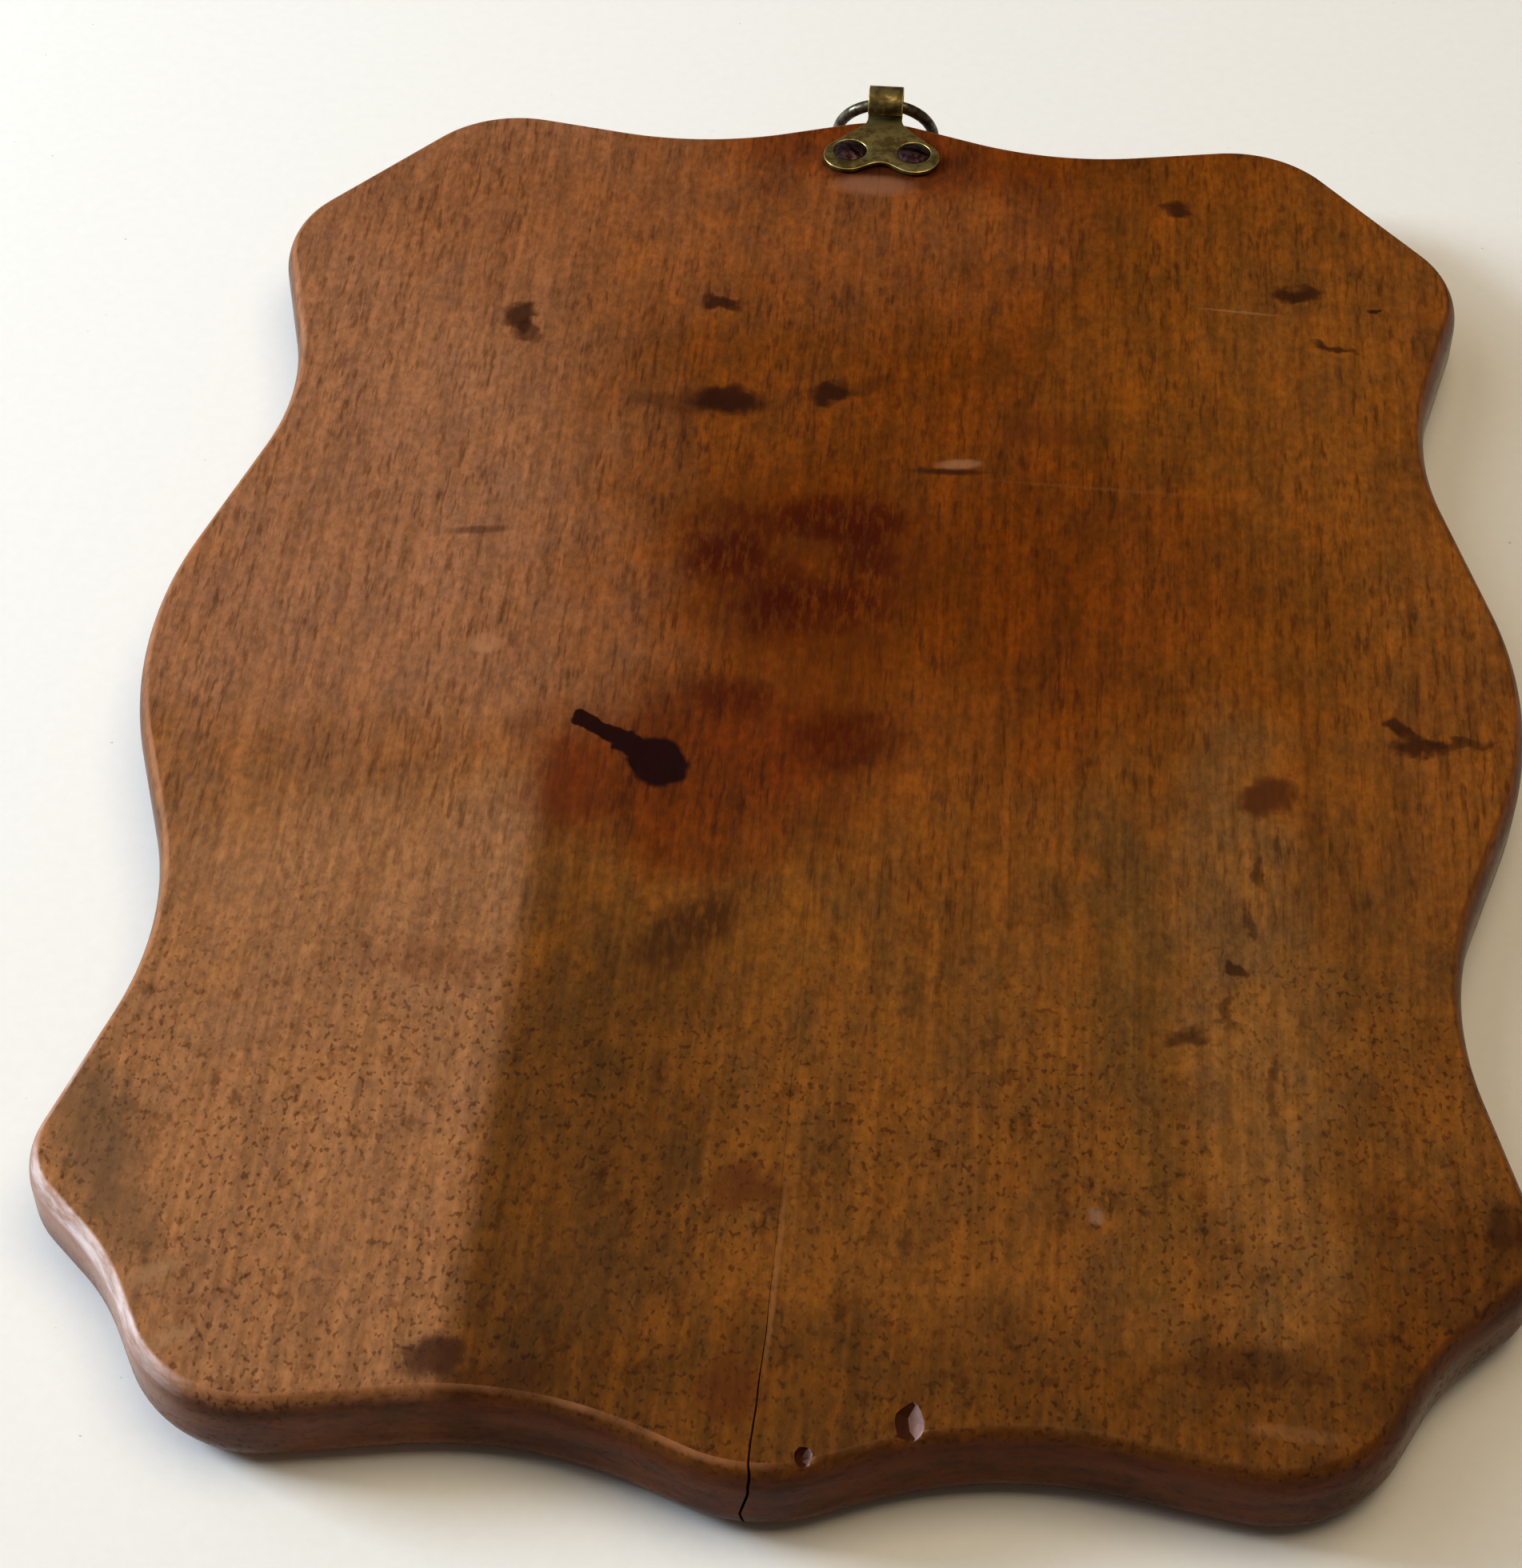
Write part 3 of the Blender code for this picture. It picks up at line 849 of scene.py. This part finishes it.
def screw(side, name, angle, surface):
    dome = [(HEAD_RADIUS * k / 8, HEAD_DOME * (1 - (k / 8) ** 2)) for k in range(9)]
    cone_end = HEAD_RIM + HEAD_RADIUS - SHANK_RADIUS
    shank = [(HEAD_RADIUS, -HEAD_RIM), (SHANK_RADIUS, -cone_end), (SHANK_RADIUS, -TAPER_START),
             (0, -SCREW_LENGTH)]
    piece = turned(name, dome + shank, screw_place(side), surface)
    shape = bmesh.new()
    bmesh.ops.create_cube(shape, size=1.0)
    slot = add_piece("slot", shape, surface)
    x, y, z = screw_place(side)
    slot.scale = (mm(3 * HEAD_RADIUS), mm(SLOT_WIDTH), mm(SLOT_TOP + SLOT_DEPTH))
    slot.location = (mm(x), mm(y), mm(z + (SLOT_TOP - SLOT_DEPTH) / 2))
    slot.rotation_euler.z = angle
    cut(piece, slot)
    bevel(piece, 0.07, 2)
    stand_for(piece, name, "plaque")


def strap_stations():
    """Middle of the strap's sheet as (y, z, direction), from the neck round the loop to its end."""
    stations = []
    bends = ((LOOP_FAR, -math.pi / 2, math.pi / 2), (LOOP_NEAR, math.pi / 2, LOOP_END))
    for centre, start, end in bends:
        count = round((end - start) / LOOP_STEP)
        for i in range(count + 1):
            angle = start + (end - start) * i / count
            y = centre + LOOP_RADIUS * math.cos(angle)
            z = LOOP_Z + LOOP_RADIUS * math.sin(angle)
            stations.append((y, z, angle + math.pi / 2))
    return stations


def hanger_plate(brass, highlight_brass):
    shape = bmesh.new()
    half = tangent_outline(PLATE_OUTLINE, (0.0, -math.pi / 2), PLATE_STEP)
    right = [(STRAP_HALF, NECK_TOP)] + half
    left = [(-x, y) for x, y in reversed(right[:-1])]
    outline = [(HANGER_X + x, y) for x, y in right + left]
    upper = add_ring(shape, [(x, y, PLATE_TOP) for x, y in outline])
    lower = add_ring(shape, [(x, y, PLATE_TOP - SHEET) for x, y in outline])
    bridge(shape, upper, lower, closed=False)
    shape.faces.new(upper)
    shape.faces.new(lower)

    # The strap goes on from the open end of the neck, as a rectangle swept round the loop.
    section = [upper[-1], upper[0], lower[0], lower[-1]]
    for y, z, direction in strap_stations():
        lift = Vector((-math.sin(direction), math.cos(direction))) * SHEET / 2
        corners = [(-STRAP_HALF, 1), (STRAP_HALF, 1), (STRAP_HALF, -1), (-STRAP_HALF, -1)]
        points = [(HANGER_X + x, y + face * lift.x, z + face * lift.y) for x, face in corners]
        following = add_ring(shape, points)
        bridge(shape, section, following)
        section = following
    shape.faces.new(section)

    piece = add_piece("hanger_plate_brass", shape, brass, highlight_brass)
    cut(piece, pilot_hole("plate_left", -1, brass), pilot_hole("plate_right", 1, brass))
    # painted highlight: the bevelled edges take the lighter brass
    bevel(piece, 0.2, 3, surface_index=1)
    stand_for(piece, "hanger_plate", "plaque")


def hanger_ring(surface):
    """Bent wire ring, leaning away from the board, hung in the strap's loop."""
    shape = bmesh.new()
    lean = Quaternion((1, 0, 0), RING_LEAN)
    pivot = Vector((HANGER_X, PIVOT_Y, PIVOT_Z))
    rings = []
    for i in range(RING_SEGMENTS):
        turn = 2 * math.pi * i / RING_SEGMENTS
        wire = WIRE_RADIUS * (1 - WIRE_WEAR * (1 + math.sin(5 * turn)))
        points = []
        for k in range(WIRE_SEGMENTS):
            angle = 2 * math.pi * k / WIRE_SEGMENTS
            radius = RING_RADIUS + wire * math.cos(angle)
            point = Vector((radius * math.cos(turn), wire * math.sin(angle),
                            radius * math.sin(turn) - RING_DROP))
            points.append(pivot + lean @ point)
        rings.append(add_ring(shape, points))
    for first, second in zip(rings, rings[1:] + rings[:1]):
        bridge(shape, first, second)
    piece = add_piece("hanger_ring_wire", shape, surface)
    stand_for(piece, "hanger_ring", "ring")


# Surroundings

def table(surface):
    shape = bmesh.new()
    bmesh.ops.create_grid(shape, x_segments=8, y_segments=8, size=TABLE_HALF)
    add_piece("table", shape, surface)


def area_light(name, place, aim, size, power, colour):
    light = bpy.data.lights.new(name, "AREA")
    light.shape = "RECTANGLE"
    light.size, light.size_y = size
    light.energy = power
    light.color = colour
    item = bpy.data.objects.new(name, light)
    item.location = place
    item.rotation_euler = (Vector(aim) - Vector(place)).to_track_quat("-Z", "Y").to_euler()
    bpy.context.scene.collection.objects.link(item)


def lighting():
    area_light("window", (-1.15, 0.16, 0.55), (0, 0, 0), (0.45, 0.4), 18.0, (0.73, 0.86, 1.0))
    area_light("ceiling", (-1.35, 0.42, 1.2), (-1.35, 0.42, 0), (1.7, 1.8), 12.2, (0.95, 0.97, 1.0))
    area_light("lamp", (0.30, 0.06, 1.5), (0, 0, 0), (1.1, 1.1), 11.0, (1.0, 0.80, 0.52))
    world = bpy.data.worlds.new("room")
    world.use_nodes = True
    background = world.node_tree.nodes["Background"]
    background.inputs["Color"].default_value = (1.0, 0.82, 0.62, 1.0)
    background.inputs["Strength"].default_value = 0.09
    bpy.context.scene.world = world


def camera():
    lens = bpy.data.cameras.new("camera")
    lens.lens = CAMERA_LENS
    item = bpy.data.objects.new("camera", lens)
    item.location = CAMERA_PLACE
    aim = (CAMERA_AIM - CAMERA_PLACE).to_track_quat("-Z", "Y")
    item.rotation_euler = (aim @ Quaternion((0, 0, 1), CAMERA_ROLL)).to_euler()
    bpy.context.scene.collection.objects.link(item)
    bpy.context.scene.camera = item


def main():
    bpy.context.scene.view_settings.view_transform = "Standard"
    wood = stained_wood()
    torn = torn_wood()
    plank(-1, "board_left", wood, torn)
    plank(1, "board_right", wood, torn)
    brass = metal("aged_brass", (84, 70, 38), (152, 136, 84), 0.42, patch=2.4)
    # lighter brass for the plate's edges, as a painted highlight
    highlight_brass = metal("brass_painted_highlight", (160, 142, 70), (226, 214, 140), 0.30, patch=2.4)
    hanger_plate(brass, highlight_brass)
    hanger_ring(metal("ring_brass", (62, 56, 44), (118, 110, 90), 0.38))
    coppered = metal("coppered_steel", (32, 19, 23), (72, 48, 51), 0.42, patch=0.9)
    screw(-1, "screw_left", SLOT_ANGLES["left"], coppered)
    screw(1, "screw_right", SLOT_ANGLES["right"], coppered)
    table(table_top())
    lighting()
    camera()


main()
